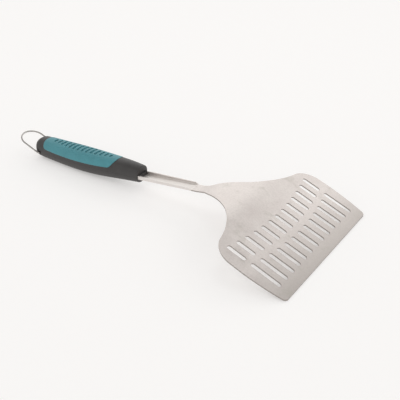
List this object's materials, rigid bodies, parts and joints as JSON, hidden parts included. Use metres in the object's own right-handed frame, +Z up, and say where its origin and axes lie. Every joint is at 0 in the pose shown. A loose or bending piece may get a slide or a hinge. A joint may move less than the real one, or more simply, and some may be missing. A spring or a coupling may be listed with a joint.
{
  "type": "grill spatula",
  "caption": "Long-handled grill spatula: wide slotted stainless blade on a folded channel shank, two-shell handle with soft grip pad, swinging wire hanging loop.",
  "frame": {"origin": "on the table under the middle of the tool's overall length", "axes": "+X along the tool from the handle towards the leading edge of the blade, +Y across the tool, +Z up from the table the tool lies on"},
  "size_m": [0.453, 0.2032, 0.0386],
  "materials": {
    "stainless_sheet": "brushed stainless sheet, satin",
    "black_plastic": "charcoal moulded plastic with a fine texture",
    "teal_rubber": "soft-touch teal rubber, satin",
    "plated_steel": "bright plated wire",
    "screw_steel": "zinc-plated steel"
  },
  "bodies": {
    "tool": {"blade": "stainless_sheet", "handle_upper_shell": "black_plastic", "handle_lower_shell": "black_plastic", "grip_pad": "teal_rubber", "handle_screws": "screw_steel"},
    "loop": {"hanging_loop": "plated_steel"}
  },
  "joints": [
    {"name": "loop_swing", "type": "hinge", "parent": "tool", "child": "loop", "pos_m": [-0.1875, 0, 0.0104], "axis": [0, 1, 0], "range_deg": [-125, 90]}
  ]
}
